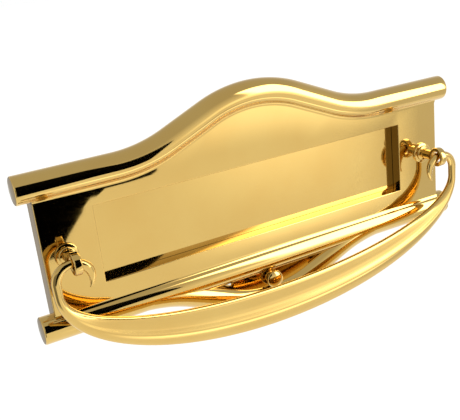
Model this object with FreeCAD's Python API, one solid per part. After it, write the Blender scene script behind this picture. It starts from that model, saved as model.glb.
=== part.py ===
"""Brass letter plate with a swinging knocker, built as separate pieces.

Frame: millimetres, +X to the right along the plate, +Z up, +Y into the door.
The origin is the centre of the letter opening, on the face of the door.
"""
import FreeCAD, Part
import math
import os
from FreeCAD import Vector

os.makedirs("parts", exist_ok=True)

# ---------------------------------------------------------------- driving sizes
# Front plate
FIELD_WIDTH = 260.0          # flat field between its two side walls
FIELD_FRONT = -11.7          # front face of the flat field
FIELD_WALL = 3.5             # thickness of the field
SIDE_WALL = 3.0              # thickness of the walls at the left and right
RAIL_RADIUS = 7.6            # round mouldings
RAIL_LENGTH = 275.0          # they run past the side walls
TOP_RAIL_Z = 37.5            # centre of the top moulding, at its ends
LOW_RAIL_Z = -39.3           # centre of the straight lower moulding
COVE_RADIUS = 3.0            # hollow corner between a moulding and the field
RAIL_SLOT = 8.6              # width of the groove cast in the back of a moulding
RAIL_SLOT_END = 4.0          # solid metal left at the end of a groove

# Reversed curve that the top and bottom edges follow
ARCH_RISE = 22.5
ARCH_HALF_SPAN = 84.5
CROWN_RADIUS = 72.0
FOOT_RADIUS = 83.5

# Letter opening
OPENING_WIDTH = 200.0
OPENING_HEIGHT = 42.6
OPENING_RIM = 3.0            # wall turned back around the opening
FLAP_FRONT = -4.9            # front face of the closed flap
FLAP_GAP = 0.3               # between the rim and the closed flap

# Flap and its hinge
FLAP_WIDTH = 207.0
FLAP_HEIGHT = 48.0
FLAP_THICKNESS = 2.4
HINGE_Y = -2.9
HINGE_Z = 27.3
ROD_RADIUS = 2.0
ROD_CLEARANCE = 0.06
KNUCKLE_RADIUS = 3.2
KNUCKLE_LENGTH = 14.0
KNUCKLE_X = 88.0
LUG_X = 108.0
LUG_WIDTH = 4.0
ROD_END = 114.5
CLIP_X = 111.0
CLIP_THICKNESS = 0.8

# Flap springs
SPRING_WIRE = 0.5            # radius of the wire
SPRING_COIL = 3.1            # radius to the middle of the wire
SPRING_PITCH = 1.3
SPRING_TURNS = 6
SPRING_START_X = 96.8

# Knocker
KNOCKER_Y = -26.7            # plane of the hanging bow
PIVOT_Z = -0.5
BOW_TOP_Z = -15.0            # level where the bow meets its two arms
BOW_OUTER = (131.8, 56.6)    # half width and depth of the lower edge
BOW_INNER = (127.0, 33.8)    # half width and depth of the upper edge
BOW_DEPTH = 3.5              # half the thickness of the bow in its middle
SCROLL_RADIUS = 9.3
SCROLL_X = 120.2
SCROLL_Z = -9.1
BAR_RADIUS = 2.15            # round bar that runs through the eyes
BAR_SWELL = 0.2              # how much wider the bar is across, away from the eyes
SWELL_ANGLE = 50.0           # from the eye to where it has its full width
TAIL_RADIUS = 0.4
TAIL_ANGLE = 216.0           # where the scroll ends, from its outer side
TAPER_ANGLE = 144.0          # where it starts to get thinner
BOW_STEPS = 9
SCROLL_STEPS = 12

# Knocker posts
POST_X = 118.0
COLLAR_RADIUS = 6.5
COLLAR_HEIGHT = 2.2
NECK_RADIUS = 3.1
EYE_RADIUS = 5.9
EYE_HOLE = 3.5
EYE_WIDTH = 4.2
SHANK_RADIUS = 2.5
SHANK_END = -1.6
NUT_ACROSS = 8.0
NUT_HEIGHT = 4.0
WASHER_RADIUS = 5.0
WASHER_THICKNESS = 1.0

# Striker stud under the bow
STRIKER_Z = -50.6
STRIKER_HEAD = 5.4
STRIKER_HEIGHT = 5.6
STRIKER_NECK = 3.4
STRIKER_SHANK = 1.5
STRIKER_END = -2.6
STRIKER_NUT_ACROSS = 5.5
STRIKER_NUT_HEIGHT = 2.4
STRIKER_WASHER = 3.2
STRIKER_WASHER_THICKNESS = 0.5

# Fixing studs through the door
FIXING_X = 117.0
FIXING_Z = 18.0
FIXING_RADIUS = 2.5
FIXING_CORE = 2.1            # reduced end, screwed into its boss
FIXING_BOSS = 5.0
FIXING_DEPTH = 7.0           # length of the reduced end
FIXING_REACH = 58.0          # through a 44 mm door, with room for a washer and a nut
FIXING_CHAMFER = 0.6

HOLE_CLEARANCE = 0.05        # radial room round a shank in its hole

FIELD_BACK = FIELD_FRONT + FIELD_WALL
X_AXIS = Vector(1, 0, 0)
Y_AXIS = Vector(0, 1, 0)


# ---------------------------------------------------------------- small helpers
def box(x0, x1, y0, y1, z0, z1):
    return Part.makeBox(x1 - x0, y1 - y0, z1 - z0, Vector(x0, y0, z0))


def rod_x(radius, x0, x1, y, z):
    return Part.makeCylinder(radius, x1 - x0, Vector(x0, y, z), X_AXIS)


def rod_y(radius, y0, y1, x, z):
    return Part.makeCylinder(radius, y1 - y0, Vector(x, y0, z), Y_AXIS)


def hexagon_y(across, y0, y1, x, z):
    corner = across / math.sqrt(3)
    points = [Vector(x + corner * math.cos(math.radians(a)), y0,
                     z + corner * math.sin(math.radians(a))) for a in range(0, 361, 60)]
    return Part.Face(Part.makePolygon(points)).extrude(Vector(0, y1 - y0, 0))


def polygon_face(points):
    return Part.Face(Part.makePolygon(points + points[:1]))


def mirror_x(shape):
    return shape.mirror(Vector(0, 0, 0), X_AXIS)


def turned(outline, x, z):
    """A turned piece about an axis along Y, from (radius, y) points."""
    points = [Vector(x + r, y, z) for r, y in outline]
    return polygon_face(points).revolve(Vector(x, 0, z), Y_AXIS, 360)


def save(name, shape):
    shape = shape.removeSplitter()
    if not shape.isValid():
        raise ValueError(name + " is not a valid shape")
    shape.exportStep(os.path.join("parts", name + ".step"))
    print(f"{name:22s} solids {len(shape.Solids)}  volume {shape.Volume:10.1f}")


# ---------------------------------------------------------------- front plate
def arch_path(level, direction, half_length, y):
    """A line at `level` that swells by ARCH_RISE in the middle: two feet, two slopes, a crown."""
    radii = CROWN_RADIUS + FOOT_RADIUS
    centres = math.hypot(ARCH_HALF_SPAN, radii - ARCH_RISE)
    slope_length = math.sqrt(centres ** 2 - radii ** 2)
    slope = math.atan2(ARCH_HALF_SPAN, radii - ARCH_RISE) - math.atan2(slope_length, radii)

    def point(x, rise):
        return Vector(x, y, level + direction * rise)

    def crown(angle):
        return point(CROWN_RADIUS * math.sin(angle),
                     ARCH_RISE - CROWN_RADIUS * (1 - math.cos(angle)))

    def foot(side, angle):
        return point(side * (ARCH_HALF_SPAN - FOOT_RADIUS * math.sin(angle)),
                     FOOT_RADIUS * (1 - math.cos(angle)))

    edges = [Part.LineSegment(point(-half_length, 0), foot(-1, 0)),
             Part.Arc(foot(-1, 0), foot(-1, slope / 2), foot(-1, slope)),
             Part.LineSegment(foot(-1, slope), crown(-slope)),
             Part.Arc(crown(-slope), crown(0), crown(slope)),
             Part.LineSegment(crown(slope), foot(1, slope)),
             Part.Arc(foot(1, slope), foot(1, slope / 2), foot(1, 0)),
             Part.LineSegment(foot(1, 0), point(half_length, 0))]
    return Part.Wire([edge.toShape() for edge in edges])


def sweep(path, profile):
    """Carry a closed profile along a path that stays in a plane across Y."""
    pipe = Part.BRepOffsetAPI.MakePipeShell(path)
    pipe.setBiNormalMode(Y_AXIS)
    pipe.setTransitionMode(1)
    pipe.add(profile)
    pipe.build()
    pipe.makeSolid()
    return pipe.shape()


def bead_profile(x, z):
    circle = Part.Circle(Vector(x, -RAIL_RADIUS, z), X_AXIS, RAIL_RADIUS)
    return Part.Wire([circle.toShape()])


def cove_profile(x, z, inward):
    """Hollow corner tangent to the bead and to the field; `inward` is +1 up, -1 down."""
    centre_y = FIELD_FRONT - COVE_RADIUS
    reach = RAIL_RADIUS + COVE_RADIUS
    drop = -RAIL_RADIUS - centre_y
    offset = math.sqrt(reach ** 2 - drop ** 2)
    on_bead = (-RAIL_RADIUS - drop * RAIL_RADIUS / reach, offset * RAIL_RADIUS / reach)
    on_field = (FIELD_FRONT, offset)
    half = math.atan2(offset, drop) / 2
    middle = (centre_y + COVE_RADIUS * math.cos(half), offset - COVE_RADIUS * math.sin(half))

    def place(pair):
        return Vector(x, pair[0], z + inward * pair[1])

    root = FIELD_FRONT + FIELD_WALL / 2
    arc = Part.Arc(place(on_bead), place(middle), place(on_field)).toShape()
    corners = [place(on_field), place((root, offset)), place((root, offset / 2)), place(on_bead)]
    sides = [Part.LineSegment(a, b).toShape() for a, b in zip(corners, corners[1:])]
    return Part.Wire([arc] + sides)


def slot_profile(x, z):
    """Round-bottomed groove, open at the back."""
    half = RAIL_SLOT / 2
    front = -RAIL_RADIUS - half
    back = 1.0
    arc = Part.Arc(Vector(x, -RAIL_RADIUS, z - half), Vector(x, front, z),
                   Vector(x, -RAIL_RADIUS, z + half)).toShape()
    corners = [Vector(x, -RAIL_RADIUS, z + half), Vector(x, back, z + half),
               Vector(x, back, z - half), Vector(x, -RAIL_RADIUS, z - half)]
    sides = [Part.LineSegment(a, b).toShape() for a, b in zip(corners, corners[1:])]
    return Part.Wire([arc] + sides)


def field_outline():
    """Flat field, filled out to the middle of the top and bottom mouldings."""
    half = FIELD_WIDTH / 2
    top = arch_path(TOP_RAIL_Z, 1, half, FIELD_FRONT)
    bottom = arch_path(LOW_RAIL_Z, -1, half, FIELD_FRONT)
    sides = [Part.LineSegment(Vector(s * half, FIELD_FRONT, LOW_RAIL_Z),
                              Vector(s * half, FIELD_FRONT, TOP_RAIL_Z)).toShape()
             for s in (-1, 1)]
    outline = Part.Wire(Part.__sortEdges__(top.Edges + sides + bottom.Edges))
    return Part.Face(outline)


def front_plate():
    half_rail = RAIL_LENGTH / 2
    half_field = FIELD_WIDTH / 2
    groove_end = half_rail - RAIL_SLOT_END
    body = field_outline().extrude(Vector(0, FIELD_WALL, 0))

    walls = [box(-half_field, -half_field + SIDE_WALL, FIELD_FRONT, 0, LOW_RAIL_Z, TOP_RAIL_Z)]
    walls.append(mirror_x(walls[0]))
    body = body.fuse(walls)

    beads = []
    grooves = []
    for level, direction in ((TOP_RAIL_Z, 1), (LOW_RAIL_Z, -1)):
        path = arch_path(level, direction, half_rail, -RAIL_RADIUS)
        beads.append(sweep(path, bead_profile(-half_rail, level)))
        groove_path = arch_path(level, direction, groove_end, -RAIL_RADIUS)
        grooves.append(sweep(groove_path, slot_profile(-groove_end, level)))
    beads.append(rod_x(RAIL_RADIUS, -half_rail, half_rail, -RAIL_RADIUS, LOW_RAIL_Z))
    straight = Part.Wire([Part.makeLine(Vector(-groove_end, -RAIL_RADIUS, LOW_RAIL_Z),
                                        Vector(groove_end, -RAIL_RADIUS, LOW_RAIL_Z))])
    grooves.append(sweep(straight, slot_profile(-groove_end, LOW_RAIL_Z)))

    cove_top = sweep(arch_path(TOP_RAIL_Z, 1, half_field, FIELD_FRONT),
                     cove_profile(-half_field, TOP_RAIL_Z, -1))
    cove_line = Part.Wire([Part.makeLine(Vector(-half_field, FIELD_FRONT, LOW_RAIL_Z),
                                         Vector(half_field, FIELD_FRONT, LOW_RAIL_Z))])
    cove_low = sweep(cove_line, cove_profile(-half_field, LOW_RAIL_Z, 1))
    for piece in beads + [cove_top, cove_low]:
        body = body.fuse(piece)
    for groove in grooves:
        body = body.cut(groove)

    half_w = OPENING_WIDTH / 2
    half_h = OPENING_HEIGHT / 2
    rim_back = FLAP_FRONT - FLAP_GAP
    rim = box(-half_w - OPENING_RIM, half_w + OPENING_RIM, FIELD_BACK - 0.5, rim_back,
              -half_h - OPENING_RIM, half_h + OPENING_RIM)
    lugs = [box(LUG_X - LUG_WIDTH / 2, LUG_X + LUG_WIDTH / 2, FIELD_BACK - 0.5, 0,
                HINGE_Z - 5, HINGE_Z + 5)]
    bosses = [rod_y(FIXING_BOSS, FIELD_BACK - 0.5, 0, FIXING_X, FIXING_Z)]
    extras = [rim] + lugs + bosses + [mirror_x(part) for part in lugs + bosses]
    body = body.fuse(extras)

    cuts = [box(-half_w, half_w, FIELD_FRONT - 1, 1, -half_h, half_h),
            rod_x(ROD_RADIUS + ROD_CLEARANCE, -ROD_END, ROD_END, HINGE_Y, HINGE_Z),
            rod_y(STRIKER_SHANK + HOLE_CLEARANCE, FIELD_FRONT - 1, 0, 0, STRIKER_Z)]
    for side in (-1, 1):
        cuts.append(rod_y(SHANK_RADIUS + HOLE_CLEARANCE, FIELD_FRONT - 1, 0,
                          side * POST_X, PIVOT_Z))
        cuts.append(rod_y(FIXING_CORE, -FIXING_DEPTH, 1, side * FIXING_X, FIXING_Z))
    for piece in cuts:
        body = body.cut(piece)
    return body


# ---------------------------------------------------------------- flap and hinge
def flap():
    top = HINGE_Z - KNUCKLE_RADIUS - 0.6
    leaf = box(-FLAP_WIDTH / 2, FLAP_WIDTH / 2, FLAP_FRONT, FLAP_FRONT + FLAP_THICKNESS,
               top - FLAP_HEIGHT, top)
    for sign in (-1, 1):
        x0 = sign * KNUCKLE_X - KNUCKLE_LENGTH / 2
        x1 = sign * KNUCKLE_X + KNUCKLE_LENGTH / 2
        arm = box(x0, x1, FLAP_FRONT, FLAP_FRONT + FLAP_THICKNESS, top - 1, HINGE_Z)
        leaf = leaf.fuse([arm, rod_x(KNUCKLE_RADIUS, x0, x1, HINGE_Y, HINGE_Z)])
    return leaf.cut(rod_x(ROD_RADIUS + ROD_CLEARANCE, -FLAP_WIDTH, FLAP_WIDTH, HINGE_Y, HINGE_Z))


def flap_rod():
    rod = rod_x(ROD_RADIUS, -ROD_END, ROD_END, HINGE_Y, HINGE_Z)
    for sign in (-1, 1):
        start = sign * CLIP_X - (CLIP_THICKNESS + 0.1) / 2
        ring = rod_x(ROD_RADIUS + 1, start, start + CLIP_THICKNESS + 0.1, HINGE_Y, HINGE_Z)
        core = rod_x(ROD_RADIUS - 0.5, start, start + CLIP_THICKNESS + 0.1, HINGE_Y, HINGE_Z)
        rod = rod.cut(ring.cut(core))
    return rod


def rod_clip(sign):
    start = sign * CLIP_X - CLIP_THICKNESS / 2
    ring = rod_x(ROD_RADIUS + 1.6, start, start + CLIP_THICKNESS, HINGE_Y, HINGE_Z)
    hole = rod_x(ROD_RADIUS - 0.5, start, start + CLIP_THICKNESS, HINGE_Y, HINGE_Z)
    mouth = box(start, start + CLIP_THICKNESS, HINGE_Y, HINGE_Y + 6, HINGE_Z - 1.2, HINGE_Z + 1.2)
    return ring.cut([hole, mouth])


def flap_spring():
    """Torsion spring coiled round the right end of the rod, between a knuckle and a lug."""
    helix = Part.makeHelix(SPRING_PITCH, SPRING_PITCH * SPRING_TURNS, SPRING_COIL)
    helix.rotate(Vector(0, 0, 0), Y_AXIS, 90)
    helix.translate(Vector(SPRING_START_X, HINGE_Y, HINGE_Z))
    first = helix.Edges[0]
    start = first.valueAt(first.FirstParameter)
    circle = Part.Circle(start, first.tangentAt(first.FirstParameter), SPRING_WIRE)
    pipe = Part.BRepOffsetAPI.MakePipeShell(helix)
    pipe.setFrenetMode(True)
    pipe.add(Part.Wire([circle.toShape()]))
    pipe.build()
    pipe.makeSolid()
    return pipe.shape()


# ---------------------------------------------------------------- knocker
def blend(a, b, t):
    return a + (b - a) * t


def bar_ring(centre, across, half_width, half_depth):
    """Oval section of the bar, at least as wide across as it is deep along Y."""
    ellipse = Part.Ellipse(centre + across * max(half_width, half_depth * 1.001),
                           centre - Y_AXIS * half_depth, centre)
    return Part.Wire([ellipse.toShape()])


def bow_ring(angle):
    """Section of the bow, `angle` round from its lowest point; both edges are half ellipses."""
    low = Vector(BOW_OUTER[0] * math.sin(angle), KNOCKER_Y,
                 BOW_TOP_Z - BOW_OUTER[1] * math.cos(angle))
    high = Vector(BOW_INNER[0] * math.sin(angle), KNOCKER_Y,
                  BOW_TOP_Z - BOW_INNER[1] * math.cos(angle))
    thin = (1 - math.cos(angle)) ** 2
    return bar_ring((low + high) * 0.5, (low - high).normalize(), (low - high).Length / 2,
                    blend(BOW_DEPTH, BAR_RADIUS, thin))


def scroll_ring(degrees):
    """Section of the scroll, `degrees` round from the top of the arm; it thins to its tail."""
    angle = math.radians(degrees)
    outward = Vector(math.cos(angle), 0, math.sin(angle))
    centre = Vector(SCROLL_X, KNOCKER_Y, SCROLL_Z) + outward * SCROLL_RADIUS
    taper = max(0.0, (degrees - TAPER_ANGLE) / (TAIL_ANGLE - TAPER_ANGLE))
    radius = blend(BAR_RADIUS, TAIL_RADIUS, taper ** 1.5)
    swell = BAR_SWELL * min(1.0, abs(degrees - 90.0) / SWELL_ANGLE) ** 2
    return bar_ring(centre, outward, radius * (1 + swell), radius)


def knocker_handle():
    rings = [bow_ring(math.radians(90.0 * i / BOW_STEPS)) for i in range(BOW_STEPS + 1)]
    rings += [scroll_ring(TAIL_ANGLE * i / SCROLL_STEPS) for i in range(SCROLL_STEPS + 1)]
    half = Part.makeLoft(rings, True, False)
    return half.fuse(mirror_x(half))


def knocker_post(sign):
    x = sign * POST_X
    collar_front = FIELD_FRONT - COLLAR_HEIGHT
    outline = [(0, SHANK_END), (SHANK_RADIUS, SHANK_END), (SHANK_RADIUS, FIELD_FRONT),
               (COLLAR_RADIUS, FIELD_FRONT), (COLLAR_RADIUS, FIELD_FRONT - COLLAR_HEIGHT * 0.5),
               (NECK_RADIUS, collar_front), (NECK_RADIUS, KNOCKER_Y + EYE_HOLE + 1.0),
               (0, KNOCKER_Y + EYE_HOLE + 1.0)]
    post = turned(outline, x, PIVOT_Z)
    eye = rod_x(EYE_RADIUS, x - EYE_WIDTH / 2, x + EYE_WIDTH / 2, KNOCKER_Y, PIVOT_Z)
    hole = rod_x(EYE_HOLE, x - EYE_WIDTH, x + EYE_WIDTH, KNOCKER_Y, PIVOT_Z)
    return post.fuse(eye).cut(hole)


def post_washer(sign):
    x = sign * POST_X
    disc = rod_y(WASHER_RADIUS, FIELD_BACK, FIELD_BACK + WASHER_THICKNESS, x, PIVOT_Z)
    return disc.cut(rod_y(SHANK_RADIUS + HOLE_CLEARANCE, FIELD_BACK, 0, x, PIVOT_Z))


def post_nut(sign):
    x = sign * POST_X
    start = FIELD_BACK + WASHER_THICKNESS
    nut = hexagon_y(NUT_ACROSS, start, start + NUT_HEIGHT, x, PIVOT_Z)
    return nut.cut(rod_y(SHANK_RADIUS, FIELD_BACK, 1, x, PIVOT_Z))


# ---------------------------------------------------------------- striker
def striker_stud():
    top = FIELD_FRONT - STRIKER_HEIGHT
    outline = [(0, STRIKER_END), (STRIKER_SHANK, STRIKER_END), (STRIKER_SHANK, FIELD_FRONT),
               (STRIKER_NECK, FIELD_FRONT), (STRIKER_NECK, FIELD_FRONT - 1.6),
               (STRIKER_HEAD, FIELD_FRONT - 2.8), (STRIKER_HEAD - 0.6, FIELD_FRONT - 4.2),
               (STRIKER_HEAD - 2.4, top + 0.3), (0, top)]
    return turned(outline, 0, STRIKER_Z)


def striker_washer():
    disc = rod_y(STRIKER_WASHER, FIELD_BACK, FIELD_BACK + STRIKER_WASHER_THICKNESS, 0, STRIKER_Z)
    return disc.cut(rod_y(STRIKER_SHANK + HOLE_CLEARANCE, FIELD_BACK, 0, 0, STRIKER_Z))


def striker_nut():
    start = FIELD_BACK + STRIKER_WASHER_THICKNESS
    nut = hexagon_y(STRIKER_NUT_ACROSS, start, start + STRIKER_NUT_HEIGHT, 0, STRIKER_Z)
    return nut.cut(rod_y(STRIKER_SHANK, FIELD_BACK, 1, 0, STRIKER_Z))


# ---------------------------------------------------------------- door fixings
def fixing_stud(sign):
    """Stud that runs back through the door, with a reduced end in its boss."""
    outline = [(0, -FIXING_DEPTH), (FIXING_CORE, -FIXING_DEPTH), (FIXING_CORE, 0),
               (FIXING_RADIUS, 0), (FIXING_RADIUS, FIXING_REACH - FIXING_CHAMFER),
               (FIXING_RADIUS - FIXING_CHAMFER, FIXING_REACH), (0, FIXING_REACH)]
    return turned(outline, sign * FIXING_X, FIXING_Z)


def pair(maker):
    """Two identical pieces, one each side, as separate solids in one shape."""
    return Part.makeCompound([maker(-1), maker(1)])


save("front_plate", front_plate())
save("flap", flap())
save("flap_rod", flap_rod())
save("rod_clips", pair(rod_clip))
right_spring = flap_spring()
save("flap_spring_right", right_spring)
save("flap_spring_left", mirror_x(right_spring))
save("knocker_handle", knocker_handle())
save("knocker_post_left", knocker_post(-1))
save("knocker_post_right", knocker_post(1))
save("post_washers", pair(post_washer))
save("post_nuts", pair(post_nut))
save("striker_stud", striker_stud())
save("striker_washer", striker_washer())
save("striker_nut", striker_nut())
save("fixing_stud_left", fixing_stud(-1))
save("fixing_stud_right", fixing_stud(1))
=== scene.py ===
"""Polished brass letter plate with a hanging knocker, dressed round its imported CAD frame.

The meshes are drawn in millimetres and stored in metres, in the frame of the CAD model:
X to the right along the plate, Z up, Y into the door, and the origin on the door's face behind
the middle of the letter opening.
"""
import math

import bmesh
import bpy
from bpy.props import FloatProperty, FloatVectorProperty, PointerProperty
from mathutils import Matrix, Vector


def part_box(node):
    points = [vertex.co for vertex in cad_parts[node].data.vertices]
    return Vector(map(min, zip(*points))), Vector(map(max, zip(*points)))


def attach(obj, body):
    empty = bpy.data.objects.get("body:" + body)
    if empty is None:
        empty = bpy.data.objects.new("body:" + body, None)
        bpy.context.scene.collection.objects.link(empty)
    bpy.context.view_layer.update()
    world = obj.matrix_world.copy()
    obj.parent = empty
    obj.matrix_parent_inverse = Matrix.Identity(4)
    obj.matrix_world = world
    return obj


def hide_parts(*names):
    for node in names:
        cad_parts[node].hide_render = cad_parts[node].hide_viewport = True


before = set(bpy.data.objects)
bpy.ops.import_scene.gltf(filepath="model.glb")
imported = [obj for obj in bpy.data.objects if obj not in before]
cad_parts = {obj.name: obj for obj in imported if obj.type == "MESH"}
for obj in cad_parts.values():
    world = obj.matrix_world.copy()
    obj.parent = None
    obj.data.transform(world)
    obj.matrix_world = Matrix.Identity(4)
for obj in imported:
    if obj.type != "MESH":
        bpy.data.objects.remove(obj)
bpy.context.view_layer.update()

bl_info = {
    "name": "Letter Plate",
    "version": (1, 0, 0),
    "blender": (4, 5, 0),
    "location": "View3D > Sidebar > Letter Plate",
    "description": "Builds a brass letter plate with its knocker, flap and studio",
    "category": "Add Mesh",
}

MM = 0.001
SMOOTH_BELOW = math.radians(38)     # edges that turn less than this are shaded smooth
WELD = 0.004 * MM                   # points closer than this become one
SLIVER = 0.002 * MM                 # shorter edges are dissolved
PLATE_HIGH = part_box("front_plate")[1]
LAP = 0.1                           # mm that a shell sinks into the one it joins

# degrees round a scroll, from its outer side
EYE_AT = 90.0                       # where the bar runs through the eye
FULL_WIDTH_AFTER = 50.0             # from the eye to the full width of the bar
TAPER_FROM = 144.0
TAIL_AT = 216.0

# places across the bow from its upper edge (-1) to its lower edge (1), and how far its front
# stands out there, as a share of its half depth
BOW_FRONT = ((-1.0, 0.0), (-0.985, 0.3), (-0.94, 0.46), (-0.82, 0.56), (-0.4, 0.63),
             (-0.1, 0.73), (0.05, 0.86), (0.15, 0.96), (0.22, 1.0), (0.3, 0.985), (0.5, 0.9),
             (0.7, 0.78), (0.85, 0.63), (0.94, 0.47), (0.985, 0.3), (1.0, 0.0))

# the lower swelling moulding slims a little over its last millimetres and stops short of its
# foot, so that its surface never lies in that of the straight moulding
MERGE_OVER = 18.0
MERGE_SLIM = 0.03
MERGE_GAP = 0.5


def linear(text):
    """An sRGB hex colour as linear red, green, blue and alpha."""
    parts = [int(text[i:i + 2], 16) / 255 for i in (0, 2, 4)]
    return [p / 12.92 if p <= 0.04045 else ((p + 0.055) / 1.055) ** 2.4 for p in parts] + [1.0]


# ------------------------------------------------------------------ settings
def length(name, description, millimetres):
    return FloatProperty(name=name, description=description, default=millimetres * MM,
                         unit="LENGTH", precision=5)


def turn(name, description, degrees):
    return FloatProperty(name=name, description=description, default=math.radians(degrees),
                         subtype="ANGLE")


def colour(name, description, text):
    return FloatVectorProperty(name=name, description=description, default=linear(text),
                               subtype="COLOR", size=4, min=0.0, max=1.0)


class PlateSettings(bpy.types.PropertyGroup):
    field_width: length("Field width", "Flat field between its side walls", 260.0)
    field_front: length("Field front", "From the door to the front of the field", 11.7)
    field_wall: length("Field wall", "Thickness of the field", 3.5)
    side_wall: length("Side wall", "Thickness of the left and right walls", 3.0)
    rail_radius: length("Rail radius", "Radius of the round mouldings", 7.6)
    top_rail: length("Top rail height", "Centre of the top moulding at its ends", 37.5)
    low_rail: length("Low rail depth", "Centre of the lower moulding below the origin", 39.3)
    cove: length("Cove radius", "Hollow between a moulding and the field", 3.0)
    slot: length("Rail slot", "Width of the groove in the back of a moulding", 8.6)
    rise: length("Arch rise", "Height of the swell in the middle", 22.5)
    arch_half: length("Arch half span", "From the middle to the foot of the swell", 84.5)
    crown: length("Crown radius", "Radius at the top of the swell", 72.0)
    foot: length("Foot radius", "Radius at the foot of the swell", 83.5)
    opening_width: length("Opening width", "Width of the letter opening", 200.0)
    opening_height: length("Opening height", "Height of the letter opening", 42.6)
    rim: length("Rim", "Thickness of the wall that turns back round the opening", 3.0)
    rim_back: length("Rim back", "From the door to the back of that wall", 5.2)
    field_edge: length("Field edge", "From a moulding's centre to the edge of the field", 5.9)
    edge_round: length("Edge rounding", "Radius on the edges of the field", 0.5)
    solid_end: length("Solid end", "Length of a moulding's end that has no groove", 4.0)
    end_round: length("End rounding", "Radius round a moulding's end", 0.9)
    lug_x: length("Lug place", "Centre of a rod lug from the middle", 108.0)
    lug_half: length("Lug half thickness", "Half the thickness of a lug", 2.0)
    lug_low: length("Lug bottom", "Lower edge of a lug above the origin", 22.3)
    lug_high: length("Lug top", "Upper edge of a lug above the origin", 32.3)
    lug_round: length("Lug rounding", "Radius on the corners of a lug", 0.4)
    boss_x: length("Boss place", "Centre of a stud boss from the middle", 117.0)
    boss_z: length("Boss level", "Centre of a stud boss above the origin", 18.0)
    boss_radius: length("Boss radius", "Radius of a stud boss", 5.0)


class KnockerSettings(bpy.types.PropertyGroup):
    plane: length("Plane", "From the door to the plane of the hanging bow", 26.7)
    arm_level: length("Arm level", "Where the bow meets its arms, below the origin", 15.0)
    outer_half: length("Outer half width", "Half width of the lower edge", 131.8)
    outer_drop: length("Outer drop", "Depth of the lower edge", 56.6)
    inner_half: length("Inner half width", "Half width of the upper edge", 127.0)
    inner_drop: length("Inner drop", "Depth of the upper edge", 33.8)
    half_depth: length("Half depth", "Half the thickness in the middle of the bow", 3.5)
    bar: length("Bar radius", "Radius of the bar that runs through an eye", 2.15)
    swell: FloatProperty(name="Bar swell", default=0.2,
                         description="How much wider the bar is across, away from the eyes")
    scroll: length("Scroll radius", "Radius of the scroll", 9.3)
    scroll_x: length("Scroll centre", "Centre of the scroll from the middle", 120.2)
    scroll_z: length("Scroll level", "Centre of the scroll below the origin", 9.1)
    tail: length("Tail radius", "Radius at the tip of the scroll", 0.4)
    post_x: length("Post centre", "Centre of a post from the middle", 118.0)
    pivot_z: length("Pivot level", "Centre of the eye below the origin", 0.5)
    striker_z: length("Striker level", "Centre of the striker stud below the origin", 50.6)


class PostSettings(bpy.types.PropertyGroup):
    shank: length("Shank", "Radius of a post where it passes the plate", 2.5)
    collar: length("Collar", "Radius of the collar on the field", 6.5)
    bead: length("Bead", "Radius to the middle of the bead next to the collar", 4.0)
    neck: length("Neck", "Radius of the neck", 3.0)
    eye_half: length("Eye half width", "Half the width of the eye", 2.1)
    eye_hole: length("Eye hole", "Radius of the hole in the eye", 3.5)
    eye_outer: length("Eye radius", "Outer radius of the eye", 5.9)
    eye_round: length("Eye rounding", "Radius on the edges of the eye", 0.8)
    stud_shank: length("Stud shank", "Radius of the striker where it passes the plate", 1.5)
    stud_stem: length("Stud stem", "Radius of the striker's stem", 3.4)
    button: length("Button", "Radius of the striker's button", 5.3)
    dome: length("Dome", "Height of the button's dome", 2.0)


class FinishSettings(bpy.types.PropertyGroup):
    brass: colour("Brass", "Polished cast brass", "D6B363")
    brass_deep: colour("Handled brass", "Brass where the lacquer has toned", "CFA654")
    machined: colour("Machined brass", "Nuts and washers", "C9A85E")
    zinc: colour("Zinc plate", "Rod, clips and fixing studs", "B9BDC2")
    spring: colour("Spring wire", "Drawn spring steel", "6E7278")


class StageSettings(bpy.types.PropertyGroup):
    azimuth: turn("Azimuth", "Camera, round from the front", -26.788)
    elevation: turn("Elevation", "Camera, above the level", 19.497)
    roll: turn("Roll", "Camera, about its own line of sight", -6.616)
    distance: length("Distance", "Camera to the point it looks at", 430.99)
    target_x: length("Target X", "Point the camera looks at", -22.635)
    target_y: length("Target Y", "Point the camera looks at", -11.7)
    target_z: length("Target Z", "Point the camera looks at", -1.835)
    lens: FloatProperty(name="Lens", description="Focal length", default=60.07, unit="CAMERA")
    floor: length("Floor", "Depth of the floor below the origin", 3000.0)
    paper: colour("Paper", "Seamless background paper", "F7F7F5")
    paper_glow: FloatProperty(name="Paper glow", description="Light from the paper", default=0.5)
    sky_low: FloatProperty(name="Sky low", description="Light near the horizon", default=1.0)
    sky_high: FloatProperty(name="Sky high", description="Light from above", default=0.6)


GROUPS = {"lp_plate": PlateSettings, "lp_knocker": KnockerSettings, "lp_posts": PostSettings,
          "lp_finish": FinishSettings, "lp_stage": StageSettings}

# silks round the piece: azimuth and elevation of the middle, half angles in width and height,
# metres away, brightness, share that fades
SILKS = (("softbox", 40.5, 18.5, 15.0, 28.5, 2.0, 5.6, 0.3),
         ("low_glow", 31.0, -8.5, 13.0, 13.0, 1.9, 1.95, 0.95),
         ("right_shade", 57.0, -23.0, 17.5, 20.0, 1.8, 0.8, 0.35),
         ("left_shade", -48.0, -8.0, 30.0, 30.0, 2.0, 0.25, 0.4),
         ("back_shade", -150.0, -12.0, 30.0, 30.0, 2.0, 0.4, 0.4))

# black flag in front of the plate's left end, and a silk strip below it, in millimetres
FLAG_FRONT = 130.0
FLAG_OUTLINE = ((-170, -47), (-109, -46), (-98, -41), (-80, -31), (-69, -25), (-62, -16.5),
                (-19, -16), (-15, -12), (-25, 60), (-60, 130), (-170, 130))
STRIP_FRONT = 140.0
STRIP_LEFT, STRIP_RIGHT = -110.0, 220.0
STRIP_LOW, STRIP_HIGH = -180.0, -120.0
STRIP_LIGHT = 2.4
FLOOR_HALF = 60.0                   # metres


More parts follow.
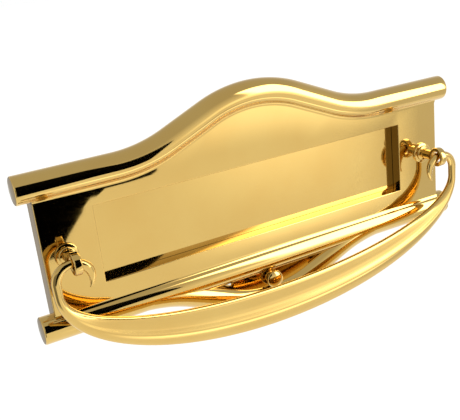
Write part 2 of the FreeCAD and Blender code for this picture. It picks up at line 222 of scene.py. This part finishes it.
class Sizes:
    """The lengths of one settings group, in millimetres."""

    def __init__(self, group):
        self.group = group

    def __getattr__(self, name):
        return getattr(self.group, name) / MM


# ------------------------------------------------------------------ mesh helpers
class Shells:
    """Closed shells in millimetres that are joined into one piece."""

    def __init__(self):
        self.points = []
        self.faces = []

    def tube(self, rings, caps=True):
        """Walls between successive rings of points, closed at both ends."""
        first = len(self.points)
        count = len(rings[0])
        for ring in rings:
            self.points.extend(ring)
        for i in range(len(rings) - 1):
            a = first + i * count
            b = a + count
            for j in range(count):
                k = (j + 1) % count
                self.faces.append((a + j, a + k, b + k, b + j))
        if caps:
            last = first + (len(rings) - 1) * count
            self.faces.append(tuple(range(first + count - 1, first - 1, -1)))
            self.faces.append(tuple(range(last, last + count)))

    def box(self, low, high, soft=0.0):
        """A block from corner to corner along Y, its four long edges rounded by `soft`."""
        x0, y0, z0 = low
        x1, y1, z1 = high
        outline = []
        for cx, cz, start in ((x1, z1, 0), (x0, z1, 90), (x0, z0, 180), (x1, z0, 270)):
            inner_x = cx - math.copysign(soft, cx - (x0 + x1) / 2)
            inner_z = cz - math.copysign(soft, cz - (z0 + z1) / 2)
            for step in range(4 if soft else 1):
                a = math.radians(start + (30 * step if soft else 45))
                outline.append((inner_x + soft * math.cos(a), inner_z + soft * math.sin(a)))
        self.tube([[(x, y, z) for x, z in outline] for y in (y0, y1)])

    def lathe(self, outline, centre, axis="Y", steps=48):
        """Turn (radius, place) points about an axis along X or Y through `centre`."""
        rings = []
        for radius, place in outline:
            ring = []
            for i in range(steps):
                a = 2 * math.pi * i / steps
                u, v = radius * math.cos(a), radius * math.sin(a)
                if axis == "Y":
                    ring.append((centre[0] + u, place, centre[2] + v))
                else:
                    ring.append((place, centre[1] + u, centre[2] + v))
            rings.append(ring)
        self.tube(rings)

    def hoop(self, section, centre, steps=48):
        """Turn a closed (radius, place) section about an axis along X, as a ring."""
        rings = []
        for i in range(steps + 1):
            a = 2 * math.pi * i / steps
            rings.append([(place, centre[1] + r * math.cos(a), centre[2] + r * math.sin(a))
                          for r, place in section])
        self.tube(rings, caps=False)

    def piece(self, name, material, body, slot, *nodes):
        """Make the object, shade it, and let it ride on its body in place of CAD nodes."""
        mesh = bpy.data.meshes.new(name)
        mesh.from_pydata([[c * MM for c in p] for p in self.points], [], self.faces)
        work = bmesh.new()
        work.from_mesh(mesh)
        bmesh.ops.remove_doubles(work, verts=work.verts, dist=WELD)
        bmesh.ops.dissolve_degenerate(work, edges=work.edges, dist=SLIVER)
        bmesh.ops.recalc_face_normals(work, faces=work.faces)
        work.to_mesh(mesh)
        work.free()
        mesh.shade_smooth()
        mesh.set_sharp_from_angle(angle=SMOOTH_BELOW)
        mesh.materials.append(material)
        obj = bpy.data.objects.new(name, mesh)
        bpy.context.scene.collection.objects.link(obj)
        if not len(mesh.polygons):
            raise RuntimeError(name + " has no faces")
        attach(obj, body)
        if nodes:
            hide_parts(*nodes)
        return obj


def rounding(radius):
    """(inset, depth) pairs that turn from a face on to the side next to it."""
    pairs = []
    steps = 4
    for i in range(steps + 1):
        a = math.pi / 2 * i / steps
        pairs.append((radius * (1 - math.sin(a)), radius * (1 - math.cos(a))))
    return pairs


def arch_line(s, level, direction, half_length):
    """Points of the swelling edge as (x, z, inward x, inward z), from left to right."""
    radii = s.crown + s.foot
    across = math.hypot(s.arch_half, radii - s.rise)
    straight = math.sqrt(across ** 2 - radii ** 2)
    slope = math.atan2(s.arch_half, radii - s.rise) - math.atan2(straight, radii)
    right = []
    steps, level_steps = 14, 4
    for i in range(steps + 1):
        a = slope * i / steps
        right.append((s.crown * math.sin(a), s.rise - s.crown * (1 - math.cos(a)), a))
    for i in range(steps + 1):
        a = slope * (1 - i / steps)
        right.append((s.arch_half - s.foot * math.sin(a), s.foot * (1 - math.cos(a)), a))
    for i in range(1, level_steps + 1):
        right.append((s.arch_half + (half_length - s.arch_half) * i / level_steps, 0.0, 0.0))
    line = [(-x, z, -a) for x, z, a in reversed(right[1:])] + right
    return [(x, level + direction * z, -math.sin(a), -direction * math.cos(a))
            for x, z, a in line]


def straight_line(level, half_length, inward):
    """Points of a level edge, as arch_line gives them."""
    steps = 8
    return [(half_length * i / steps, level, 0.0, inward) for i in range(-steps, steps + 1)]


def swept(line, profile):
    """Rings of a closed (offset inward, y) profile along a line."""
    return [[(x + nx * a, y, z + nz * a) for a, y in profile] for x, z, nx, nz in line]


def merging_arch(s, bead):
    """Rings of the lower swelling bead, a little slimmer where it runs into the straight one."""
    rings = []
    for x, z, nx, nz in arch_line(s, -s.low_rail, -1, s.arch_half):
        clear = s.arch_half - abs(x)
        if clear < MERGE_GAP:
            continue
        slim = 1 - MERGE_SLIM * max(0.0, 1 - clear / MERGE_OVER)
        rings.append([(x + nx * a * slim, (y + s.rail_radius) * slim - s.rail_radius,
                       z + nz * a * slim) for a, y in bead])
    return rings


def grooved_bead(radius, slot):
    """Round moulding with a round-bottomed groove, open at the back."""
    half = slot / 2
    reach = math.pi - math.asin(half / radius)
    outer_steps, inner_steps = 56, 14
    outline = []
    for i in range(outer_steps + 1):
        a = -reach + 2 * reach * i / outer_steps
        outline.append((radius * math.sin(a), -radius - radius * math.cos(a)))
    for i in range(inner_steps + 1):
        a = math.pi * i / inner_steps
        outline.append((half * math.cos(a), -radius - half * math.sin(a)))
    return outline


def ridged(u):
    """Height of the bow's front, 0 to 1, from its upper edge (-1) to its lower edge (1)."""
    for (u0, h0), (u1, h1) in zip(BOW_FRONT, BOW_FRONT[1:]):
        if u <= u1:
            t = (u - u0) / (u1 - u0)
            eased = t * t * (3 - 2 * t)
            return h0 + (h1 - h0) * (eased + t) / 2
    return 0.0


def cove_section(s):
    """Hollow corner tangent to the moulding and to the field."""
    centre = -s.field_front - s.cove
    reach = s.rail_radius + s.cove
    drop = -s.rail_radius - centre
    offset = math.sqrt(reach ** 2 - drop ** 2)
    half = math.atan2(offset, drop)
    arc = []
    steps = 8
    for i in range(steps + 1):
        a = half * i / steps
        arc.append((offset - s.cove * math.sin(a), centre + s.cove * math.cos(a)))
    buried = [(offset * 0.6, -s.rail_radius - 1.0), (offset, -s.field_front + 1.5)]
    return arc + buried


def window_slab(shells, s, top):
    """Flat field with the letter opening and the wall that turns back round it."""
    front, back = -s.field_front, -s.field_front + s.field_wall
    half_w, half_h = s.opening_width / 2, s.opening_height / 2
    end, rim, soft = s.field_width / 2, s.rim, s.edge_round
    low = -s.low_rail + s.field_edge
    high = top[0][1]
    arch = [(x, z) for x, z, nx, nz in top if abs(x) < s.arch_half]
    past_arch = s.arch_half + 7.5

    def stations(window, edge):
        side = [(x, high) for x in (edge, (edge + window) / 2, window, past_arch)]
        return [(-x, z) for x, z in side] + arch + list(reversed(side))

    def grid(y, window_w, window_h, edge):
        """Points of one face, and the loops of its window and of its outer edge."""
        columns = stations(window_w, edge)
        first = len(shells.points)
        for x, z in columns:
            shells.points.extend([(x, y, low), (x, y, -window_h), (x, y, window_h), (x, y, z)])
        last = len(columns) - 1
        for i in range(last):
            for row in range(3):
                if row == 1 and 2 <= i < last - 2:
                    continue
                a = first + 4 * i + row
                shells.faces.append((a, a + 1, a + 5, a + 4))
        window = [first + 4 * i + 1 for i in range(2, last - 1)]
        window += [first + 4 * i + 2 for i in range(last - 2, 1, -1)]
        outer = [first + 4 * i for i in range(last + 1)]
        outer += [first + 4 * last + row for row in (1, 2, 3)]
        outer += [first + 4 * i + 3 for i in range(last - 1, -1, -1)]
        outer += [first + row for row in (2, 1)]
        return window, outer

    def ring(indices, move):
        """Moved copies of some points."""
        first = len(shells.points)
        shells.points.extend([move(shells.points[i]) for i in indices])
        return list(range(first, first + len(indices)))

    def bridge(a, b):
        """Wall between two loops."""
        for i in range(len(a)):
            j = (i + 1) % len(a)
            shells.faces.append((a[i], a[j], b[j], b[i]))

    window_front, outer_front = grid(front, half_w + soft, half_h + soft, end - soft)
    window_back, outer_back = grid(back, half_w + rim, half_h + rim, end)

    loop = window_front
    steps = [(half_w + i, half_h + i, front + d) for i, d in rounding(soft)[1:]]
    steps += [(half_w, half_h, -s.rim_back), (half_w + rim, half_h + rim, -s.rim_back)]
    for w, h, y in steps:
        nxt = ring(window_front, lambda p: (
            math.copysign(w, p[0]) if abs(p[0]) > half_w else p[0], y, math.copysign(h, p[2])))
        bridge(loop, nxt)
        loop = nxt
    bridge(loop, window_back)

    loop = outer_front
    for inset, depth in rounding(soft)[1:]:
        nxt = ring(outer_front, lambda p: (
            math.copysign(end - inset, p[0]), front + depth, p[2])
            if abs(p[0]) > end - 1 else p)
        bridge(loop, nxt)
        loop = nxt
    bridge(loop, outer_back)


# ------------------------------------------------------------------ materials
def per(size):
    """Scale of a pattern whose features are `size` millimetres across or apart."""
    return 1 / (size * MM)


def node(tree, kind, settings=None, **links):
    """Add a node. Settings fill its fields or its sockets, by name or, where names repeat, by
    number; links join other nodes' sockets to its inputs."""
    made = tree.nodes.new(kind)
    for key, value in (settings or {}).items():
        if isinstance(key, int) or key in made.inputs:
            made.inputs[key].default_value = value
        else:
            setattr(made, key, value)
    for name, source in links.items():
        tree.links.new(source, made.inputs[name.replace("_", " ")])
    return made


def fresh(name):
    """A material and its empty node tree."""
    material = bpy.data.materials.new(name)
    material.use_nodes = True
    tree = material.node_tree
    tree.nodes.clear()
    return material, tree


def polished_brass(name, finish, haze, wave):
    """Cast brass, linished, mopped to a mirror and lacquered: a warm mirror that bends what it
    reflects a little, with faint mopping lines along the piece and slightly toned patches."""
    material, tree = fresh(name)
    place = node(tree, "ShaderNodeTexCoord").outputs["Object"]
    # long shallow waves left by linishing by hand, `wave` mm high
    swell = node(tree, "ShaderNodeTexNoise", {"Scale": per(45.5), "Detail": 0.0}, Vector=place)
    # mopping lines, drawn coarser than real ones so that they show
    drawn = node(tree, "ShaderNodeMapping", {"Scale": (per(40), per(0.714), per(0.714))},
                 Vector=place)
    lines = node(tree, "ShaderNodeTexNoise", {"Scale": 1.0, "Detail": 2.0},
                 Vector=drawn.outputs["Vector"])
    # patches where the lacquer has toned
    patch = node(tree, "ShaderNodeTexNoise", {"Scale": per(30.3), "Detail": 3.0}, Vector=place)
    tone = node(tree, "ShaderNodeMapRange", {"From Min": 0.35, "From Max": 0.75, "To Min": 0.0,
                                             "To Max": 0.55}, Value=patch.outputs["Fac"])
    mix = node(tree, "ShaderNodeMix",
               {"data_type": "RGBA", 6: finish.brass, 7: finish.brass_deep},
               Factor=tone.outputs["Result"])
    rough = node(tree, "ShaderNodeMapRange", {"From Min": 0.3, "From Max": 0.8, "To Min": haze,
                                              "To Max": haze * 1.8}, Value=lines.outputs["Fac"])
    low = node(tree, "ShaderNodeBump", {"Strength": 1.0, "Distance": wave * MM},
               Height=swell.outputs["Fac"])
    fine = node(tree, "ShaderNodeBump", {"Strength": 0.12, "Distance": 0.0012 * MM},
                Height=lines.outputs["Fac"], Normal=low.outputs["Normal"])
    # a thin clear coat of lacquer over the metal
    shader = node(tree, "ShaderNodeBsdfPrincipled",
                  {"Metallic": 1.0, "Coat Weight": 0.6, "Coat Roughness": 0.03, "Coat IOR": 1.5},
                  Base_Color=mix.outputs[2], Roughness=rough.outputs["Result"],
                  Normal=fine.outputs["Normal"])
    node(tree, "ShaderNodeOutputMaterial", Surface=shader.outputs["BSDF"])
    return material


def turned_metal(name, base, roughness, pitch):
    """Metal left as it was turned, plated or drawn: fine marks `pitch` mm apart under a dull,
    even sheen, with slightly darker clouds 4 mm across."""
    material, tree = fresh(name)
    place = node(tree, "ShaderNodeTexCoord").outputs["Object"]
    marks = node(tree, "ShaderNodeTexNoise", {"Scale": per(pitch), "Detail": 2.0}, Vector=place)
    cloud = node(tree, "ShaderNodeTexNoise", {"Scale": per(4), "Detail": 3.0}, Vector=place)
    dull = [c * 0.72 for c in base[:3]] + [1.0]
    mix = node(tree, "ShaderNodeMix", {"data_type": "RGBA", 6: base, 7: dull},
               Factor=cloud.outputs["Fac"])
    rough = node(tree, "ShaderNodeMapRange",
                 {"To Min": roughness * 0.8, "To Max": roughness * 1.3},
                 Value=cloud.outputs["Fac"])
    bump = node(tree, "ShaderNodeBump", {"Strength": 0.4, "Distance": 0.01 * MM},
                Height=marks.outputs["Fac"])
    shader = node(tree, "ShaderNodeBsdfPrincipled", {"Metallic": 1.0},
                  Base_Color=mix.outputs[2], Roughness=rough.outputs["Result"],
                  Normal=bump.outputs["Normal"])
    node(tree, "ShaderNodeOutputMaterial", Surface=shader.outputs["BSDF"])
    return material


def silk(name, strength, edge):
    """Silk lit from behind: an even glow that the brass mirrors as a broad soft highlight. It
    fades out over `edge`, a share of half its width and height."""
    material, tree = fresh(name)
    place = node(tree, "ShaderNodeTexCoord").outputs["Object"]
    apart = node(tree, "ShaderNodeSeparateXYZ", Vector=place)
    level = node(tree, "ShaderNodeMath", {"operation": "MULTIPLY"})
    for i, axis in enumerate("XY"):
        far = node(tree, "ShaderNodeMath", {"operation": "ABSOLUTE"}, Value=apart.outputs[axis])
        fade = node(tree, "ShaderNodeMapRange",
                    {"interpolation_type": "SMOOTHSTEP", "From Min": 1.0,
                     "From Max": 1.0 - edge, "To Min": 0.0, "To Max": 1.0},
                    Value=far.outputs["Value"])
        tree.links.new(fade.outputs["Result"], level.inputs[i])
    light = node(tree, "ShaderNodeEmission", {"Strength": strength})
    clear = node(tree, "ShaderNodeBsdfTransparent")
    blend = node(tree, "ShaderNodeMixShader", Fac=level.outputs["Value"])
    tree.links.new(clear.outputs["BSDF"], blend.inputs[1])
    tree.links.new(light.outputs["Emission"], blend.inputs[2])
    node(tree, "ShaderNodeOutputMaterial", Surface=blend.outputs["Shader"])
    return material


def dress(names, material):
    """Give CAD nodes a material."""
    for name in names:
        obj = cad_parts[name]
        obj.material_slots[0].material = material


# ------------------------------------------------------------------ operators
class LETTERPLATE_OT_casting(bpy.types.Operator):
    """Front plate: field, opening, mouldings, coves, walls, lugs and bosses"""

    bl_idname = "letterplate.casting"
    bl_label = "Front plate"

    def execute(self, context):
        s = Sizes(context.scene.lp_plate)
        shells = Shells()
        half_field = s.field_width / 2
        half_rail = PLATE_HIGH.x / MM
        radius = s.rail_radius
        groove_end = half_rail - s.solid_end
        bead = grooved_bead(radius, s.slot)
        shells.tube(swept(arch_line(s, s.top_rail, 1, groove_end), bead))
        shells.tube(swept(straight_line(-s.low_rail, groove_end, 1.0), bead))
        shells.tube(merging_arch(s, bead))
        end = [(radius, groove_end - 2 * LAP)]
        end += [(radius - i, half_rail - d) for i, d in reversed(rounding(s.end_round))]
        for side in (-1, 1):
            for level in (s.top_rail, -s.low_rail):
                shells.lathe([(r, side * x) for r, x in end], (0, -radius, level), "X", 64)
        cove = cove_section(s)
        shells.tube(swept(arch_line(s, s.top_rail, 1, half_field), cove))
        shells.tube(swept(straight_line(-s.low_rail, half_field, 1.0), cove))

        edge = s.field_edge
        inner_edge = [(x + nx * edge, z + nz * edge, nx, nz)
                      for x, z, nx, nz in arch_line(s, s.top_rail, 1, half_field)]
        window_slab(shells, s, inner_edge)
        front, back = -s.field_front, -s.field_front + s.field_wall
        lower_field = []
        for x, z, nx, nz in arch_line(s, -s.low_rail, -1, half_field):
            low, high = z + nz * edge, -s.low_rail - edge
            if low < high:
                lower_field.append([(x + nx * edge, y, h) for y, h in (
                    (front, low), (front, high), (back, high), (back, low))])
        shells.tube(lower_field)
        slot = s.slot / 2
        for side in (-1, 1):
            x0, x1 = sorted((side * (half_field - s.side_wall), side * half_field))
            shells.box((x0, back - LAP, -s.low_rail + slot), (x1, 0, s.top_rail - slot))
            lug = side * s.lug_x
            shells.box((lug - s.lug_half, back - LAP, s.lug_low),
                       (lug + s.lug_half, 0, s.lug_high), s.lug_round)
            boss = [(s.boss_radius, back - LAP), (s.boss_radius, -s.edge_round),
                    (s.boss_radius - s.edge_round, 0)]
            shells.lathe(boss, (side * s.boss_x, 0, s.boss_z))
        # the flattest mirror of all, with the least haze
        material = polished_brass("brass cast and mopped", context.scene.lp_finish,
                                  haze=0.045, wave=0.008)
        shells.piece("plate_casting", material, "plate", "plate_brass", "front_plate")
        return {"FINISHED"}


class LETTERPLATE_OT_flap(bpy.types.Operator):
    """Flap: a brass leaf with two knuckles, polished on its face"""

    bl_idname = "letterplate.flap"
    bl_label = "Flap"

    def execute(self, context):
        # thin sheet, a little wavier than the casting
        material = polished_brass("brass sheet mopped", context.scene.lp_finish,
                                  haze=0.05, wave=0.015)
        dress(["flap"], material)
        return {"FINISHED"}


class LETTERPLATE_OT_knocker(bpy.types.Operator):
    """Knocker: a crescent bow whose ends rise into two scrolls"""

    bl_idname = "letterplate.knocker"
    bl_label = "Knocker"

    def execute(self, context):
        s = Sizes(context.scene.lp_knocker)
        shells = Shells()
        around, arm_steps, bow_steps = 64, 60, 90

        def section(centre, direction, wide, deep, ridge=0.0):
            """Oval section; `ridge` gives its front a flat that swells to a ridge low down."""
            ring = []
            for i in range(around):
                a = 2 * math.pi * i / around
                u, v = math.cos(a), math.sin(a)
                if v < 0:
                    v += (-ridged(u) - v) * ridge
                p = centre + direction * u * wide
                ring.append((p.x, p.y + v * deep, p.z))
            return ring

        def scroll(side, degrees):
            """Section of the bar at a place round its scroll, swelling away from the eye."""
            a = math.radians(degrees)
            out = Vector((side * math.cos(a), 0, math.sin(a)))
            centre = Vector((side * s.scroll_x, -s.plane, -s.scroll_z)) + out * s.scroll
            taper = max(0.0, (degrees - TAPER_FROM) / (TAIL_AT - TAPER_FROM)) ** 1.5
            radius = s.bar + (s.tail - s.bar) * taper
            past_eye = min(1.0, abs(degrees - EYE_AT) / FULL_WIDTH_AFTER)
            swell = context.scene.lp_knocker.swell * past_eye ** 2
            return section(centre, out, radius * (1 + swell), radius)

        def tail(side):
            """Sections that round off the tip of the scroll."""
            a = math.radians(TAIL_AT)
            out = Vector((side * math.cos(a), 0, math.sin(a)))
            along = Vector((-side * math.sin(a), 0, math.cos(a)))
            end = Vector((side * s.scroll_x, -s.plane, -s.scroll_z)) + out * s.scroll
            rings = []
            for turned in map(math.radians, (84, 56, 28)):
                radius = s.tail * math.cos(turned)
                rings.append(section(end + along * s.tail * math.sin(turned), out,
                                     radius, radius))
            return rings

        def arm(side):
            return tail(side) + [scroll(side, TAIL_AT * (1 - i / arm_steps))
                                 for i in range(arm_steps)]

        rings = arm(-1)
        for i in range(bow_steps + 1):
            a = math.radians(-90 + 180 * i / bow_steps)
            low = Vector((s.outer_half * math.sin(a), -s.plane,
                          -s.arm_level - s.outer_drop * math.cos(a)))
            high = Vector((s.inner_half * math.sin(a), -s.plane,
                           -s.arm_level - s.inner_drop * math.cos(a)))
            thin = (1 - math.cos(a)) ** 2
            deep = s.half_depth + (s.bar - s.half_depth) * thin
            ridge = max(0.0, 1 - thin * 1.5)
            rings.append(section((low + high) / 2, (low - high).normalized(),
                                 (low - high).length / 2, deep, ridge))
        rings += reversed(arm(1))
        shells.tube(rings)
        # mopped by hand all round, so its highlights are softer and less straight
        material = polished_brass("brass cast and hand mopped", context.scene.lp_finish,
                                  haze=0.07, wave=0.015)
        shells.piece("knocker_bow", material, "knocker", "knocker_brass", "knocker_handle")
        return {"FINISHED"}


class LETTERPLATE_OT_posts(bpy.types.Operator):
    """Posts: turned collars and necks that end in flat eyes round the scrolls"""

    bl_idname = "letterplate.posts"
    bl_label = "Posts"

    def execute(self, context):
        s = Sizes(context.scene.lp_knocker)
        p = Sizes(context.scene.lp_posts)
        front = -Sizes(context.scene.lp_plate).field_front
        # turned and mopped: small, tight highlights that run round the piece
        material = polished_brass("brass turned and mopped", context.scene.lp_finish,
                                  haze=0.05, wave=0.01)
        for side, word in ((-1, "left"), (1, "right")):
            shells = Shells()
            centre = (side * s.post_x, -s.plane, -s.pivot_z)
            outline = [(p.shank, -1.6), (p.shank, front + 0.3), (p.collar - 0.2, front + 0.3),
                       (p.collar, front), (p.collar, front - 0.7), (p.collar - 0.15, front - 1.1),
                       (p.collar - 0.5, front - 1.3)]
            bead_steps = 6
            for i in range(bead_steps + 1):
                a = math.pi * i / bead_steps - math.pi / 2
                outline.append((p.bead + 0.7 * math.cos(a), front - 1.95 - 0.6 * math.sin(a)))
            outline += [(p.neck + 0.1, front - 2.6), (p.neck, front - 5.0),
                        (p.neck, -s.plane + 5.2)]
            shells.lathe(outline, centre)
            soft = p.eye_round
            half, inner, outer = p.eye_half - soft, p.eye_hole + soft, p.eye_outer - soft
            corner_steps = 4
            ring = []
            for r, x, start in ((outer, half, 0), (inner, half, 90), (inner, -half, 180),
                                (outer, -half, 270)):
                for step in range(corner_steps + 1):
                    a = math.radians(start + 90 * step / corner_steps)
                    ring.append((r + soft * math.cos(a), centre[0] + x + soft * math.sin(a)))
            shells.hoop(ring, centre)
            shells.piece("post_" + word, material, "plate", "post_brass",
                         "knocker_post_" + word)
        return {"FINISHED"}


class LETTERPLATE_OT_striker(bpy.types.Operator):
    """Striker: a turned button that the bow knocks against"""

    bl_idname = "letterplate.striker"
    bl_label = "Striker"

    def execute(self, context):
        s = Sizes(context.scene.lp_knocker)
        p = Sizes(context.scene.lp_posts)
        front = -Sizes(context.scene.lp_plate).field_front
        shells = Shells()
        dome_from = front - 3.6
        tip = 0.02
        outline = [(p.stud_shank, -2.6), (p.stud_shank, front + 0.3), (p.stud_stem, front + 0.3),
                   (p.stud_stem, front - 1.5), (p.stud_stem + 0.3, front - 1.9),
                   (p.button - 0.4, front - 2.4), (p.button, front - 2.75),
                   (p.button + 0.1, front - 3.1), (p.button, dome_from)]
        dome_steps = 8
        for i in range(1, dome_steps + 1):
            a = math.pi / 2 * i / dome_steps
            outline.append((p.button * math.cos(a) + tip, dome_from - p.dome * math.sin(a)))
        shells.lathe(outline, (0, 0, -s.striker_z))
        # small and domed, so it mirrors the whole studio in one bright spot
        material = polished_brass("brass turned button", context.scene.lp_finish,
                                  haze=0.05, wave=0.01)
        shells.piece("striker_button", material, "plate", "post_brass", "striker_stud")
        return {"FINISHED"}


class LETTERPLATE_OT_hardware(bpy.types.Operator):
    """Hardware: rod, clips, springs, nuts, washers and fixing studs"""

    bl_idname = "letterplate.hardware"
    bl_label = "Hardware"

    def execute(self, context):
        finish = context.scene.lp_finish
        # yellow and slightly dull
        dress(["post_washers", "post_nuts", "striker_washer", "striker_nut"],
              turned_metal("brass machined from bar", list(finish.machined), 0.3, 0.6))
        # bluish grey with an even sheen
        dress(["flap_rod", "rod_clips", "fixing_stud_left", "fixing_stud_right"],
              turned_metal("steel zinc plated", list(finish.zinc), 0.32, 0.8))
        # dark grey, the dullest of the metals
        dress(["flap_spring_left", "flap_spring_right"],
              turned_metal("steel drawn spring wire", list(finish.spring), 0.38, 0.4))
        return {"FINISHED"}


class LETTERPLATE_OT_stage(bpy.types.Operator):
    """Stage: pale floor, soft lights, shading cards and the camera"""

    bl_idname = "letterplate.stage"
    bl_label = "Stage"

    def execute(self, context):
        scene = context.scene
        stage = scene.lp_stage
        scene.view_settings.view_transform = "Standard"

        world = bpy.data.worlds.new("studio")
        world.use_nodes = True
        scene.world = world
        tree = world.node_tree
        tree.nodes.clear()
        place = node(tree, "ShaderNodeTexCoord").outputs["Generated"]
        height = node(tree, "ShaderNodeSeparateXYZ", Vector=place)
        level = node(tree, "ShaderNodeMapRange",
                     {"From Min": 0.05, "From Max": 0.6, "To Min": stage.sky_low,
                      "To Max": stage.sky_high}, Value=height.outputs["Z"])
        sky = node(tree, "ShaderNodeBackground", {"Color": (1.0, 1.0, 1.0, 1.0)},
                   Strength=level.outputs["Result"])
        node(tree, "ShaderNodeOutputWorld", Surface=sky.outputs["Background"])

        def card(name, corners, material, **visible):
            """A flat card; its object sits at its middle, scaled so that the mesh spans -1 to 1."""
            centre = sum((Vector(c) for c in corners), Vector()) / 4
            u = (Vector(corners[1]) - Vector(corners[0])) / 2
            v = (Vector(corners[3]) - Vector(corners[0])) / 2
            mesh = bpy.data.meshes.new(name)
            mesh.from_pydata([(-1, -1, 0), (1, -1, 0), (1, 1, 0), (-1, 1, 0)], [], [(0, 1, 2, 3)])
            mesh.materials.append(material)
            obj = bpy.data.objects.new(name, mesh)
            scene.collection.objects.link(obj)
            w = u.cross(v).normalized()
            obj.matrix_world = Matrix.Translation(centre) @ Matrix(
                (u, v, w)).transposed().to_4x4()
            for key, value in visible.items():
                setattr(obj, "visible_" + key, value)

        # matt paper, pale and even, with a very soft unevenness 67 mm across; its own space
        # spans 1 from the middle to an edge
        floor_material, floor_tree = fresh("paper seamless matt")
        fibre = node(floor_tree, "ShaderNodeTexNoise", {"Scale": FLOOR_HALF * per(66.7)},
                     Vector=node(floor_tree, "ShaderNodeTexCoord").outputs["Object"])
        bump = node(floor_tree, "ShaderNodeBump", {"Strength": 0.02},
                    Height=fibre.outputs["Fac"])
        paper = node(floor_tree, "ShaderNodeBsdfPrincipled",
                     {"Roughness": 0.9, "Base Color": stage.paper,
                      "Emission Color": stage.paper, "Emission Strength": stage.paper_glow},
                     Normal=bump.outputs["Normal"])
        node(floor_tree, "ShaderNodeOutputMaterial", Surface=paper.outputs["BSDF"])
        z = -stage.floor
        card("floor", [(-FLOOR_HALF, -FLOOR_HALF, z), (FLOOR_HALF, -FLOOR_HALF, z),
                       (FLOOR_HALF, FLOOR_HALF, z), (-FLOOR_HALF, FLOOR_HALF, z)], floor_material)

        # wool felt: drinks the light, so the brass mirrors it as black
        flag, flag_tree = fresh("felt black")
        felt = node(flag_tree, "ShaderNodeBsdfDiffuse", {"Color": linear("020202")})
        node(flag_tree, "ShaderNodeOutputMaterial", Surface=felt.outputs["BSDF"])
        mesh = bpy.data.meshes.new("shade_flag")
        mesh.from_pydata([(x * MM, -FLAG_FRONT * MM, z * MM) for x, z in FLAG_OUTLINE], [],
                         [tuple(range(len(FLAG_OUTLINE)))])
        mesh.materials.append(flag)
        cloth = bpy.data.objects.new("shade_flag", mesh)
        scene.collection.objects.link(cloth)
        for part in ("camera", "diffuse", "shadow"):
            setattr(cloth, "visible_" + part, False)

        for name, turn_by, rise_by, half_wide, half_high, away, strength, fade in SILKS:
            a, e = math.radians(turn_by), math.radians(rise_by)
            aim = Vector((math.sin(a) * math.cos(e), -math.cos(a) * math.cos(e), math.sin(e)))
            side = Vector((math.cos(a), math.sin(a), 0)) * math.tan(math.radians(half_wide)) * away
            rise = aim.cross(side).normalized() * math.tan(math.radians(half_high)) * -away
            middle = aim * away
            card(name, [middle - side - rise, middle + side - rise, middle + side + rise,
                        middle - side + rise], silk(name + " cloth", strength, fade),
                 camera=False, shadow=False)

        strip = [Vector((x, -STRIP_FRONT, z)) * MM for x, z in (
            (STRIP_LEFT, STRIP_LOW), (STRIP_RIGHT, STRIP_LOW), (STRIP_RIGHT, STRIP_HIGH),
            (STRIP_LEFT, STRIP_HIGH))]
        card("table_glow", strip, silk("table_glow cloth", STRIP_LIGHT, 0.5),
             camera=False, shadow=False)

        camera = bpy.data.cameras.new("camera")
        camera.lens = stage.lens
        camera.sensor_width = 36.0
        camera.clip_start = 0.01
        viewer = bpy.data.objects.new("camera", camera)
        scene.collection.objects.link(viewer)
        a, e = stage.azimuth, stage.elevation
        back = Vector((math.sin(a) * math.cos(e), -math.cos(a) * math.cos(e), math.sin(e)))
        target = Vector((stage.target_x, stage.target_y, stage.target_z))
        turned = (-back).to_track_quat("-Z", "Y").to_matrix() @ Matrix.Rotation(stage.roll, 3, "Z")
        viewer.matrix_world = Matrix.Translation(target + back * stage.distance) @ turned.to_4x4()
        scene.camera = viewer
        return {"FINISHED"}


OPERATORS = (LETTERPLATE_OT_casting, LETTERPLATE_OT_flap, LETTERPLATE_OT_knocker,
             LETTERPLATE_OT_posts, LETTERPLATE_OT_striker, LETTERPLATE_OT_hardware,
             LETTERPLATE_OT_stage)


class LETTERPLATE_PT_panel(bpy.types.Panel):
    """The letter plate's pieces, in the order in which they are made"""

    bl_idname = "LETTERPLATE_PT_panel"
    bl_label = "Letter Plate"
    bl_space_type = "VIEW_3D"
    bl_region_type = "UI"
    bl_category = "Letter Plate"

    def draw(self, context):
        for operator in OPERATORS:
            self.layout.operator(operator.bl_idname, text=operator.bl_label)
        for name, group in GROUPS.items():
            column = self.layout.column(align=True)
            for key in group.__annotations__:
                column.prop(getattr(context.scene, name), key)


CLASSES = tuple(GROUPS.values()) + OPERATORS + (LETTERPLATE_PT_panel,)


def register():
    for item in CLASSES:
        bpy.utils.register_class(item)
    for name, group in GROUPS.items():
        setattr(bpy.types.Scene, name, PointerProperty(type=group))


def unregister():
    for name in GROUPS:
        delattr(bpy.types.Scene, name)
    for item in reversed(CLASSES):
        bpy.utils.unregister_class(item)


def main():
    register()
    for operator in OPERATORS:
        group, name = operator.bl_idname.split(".")
        getattr(getattr(bpy.ops, group), name)()


if __name__ == "__main__":
    main()
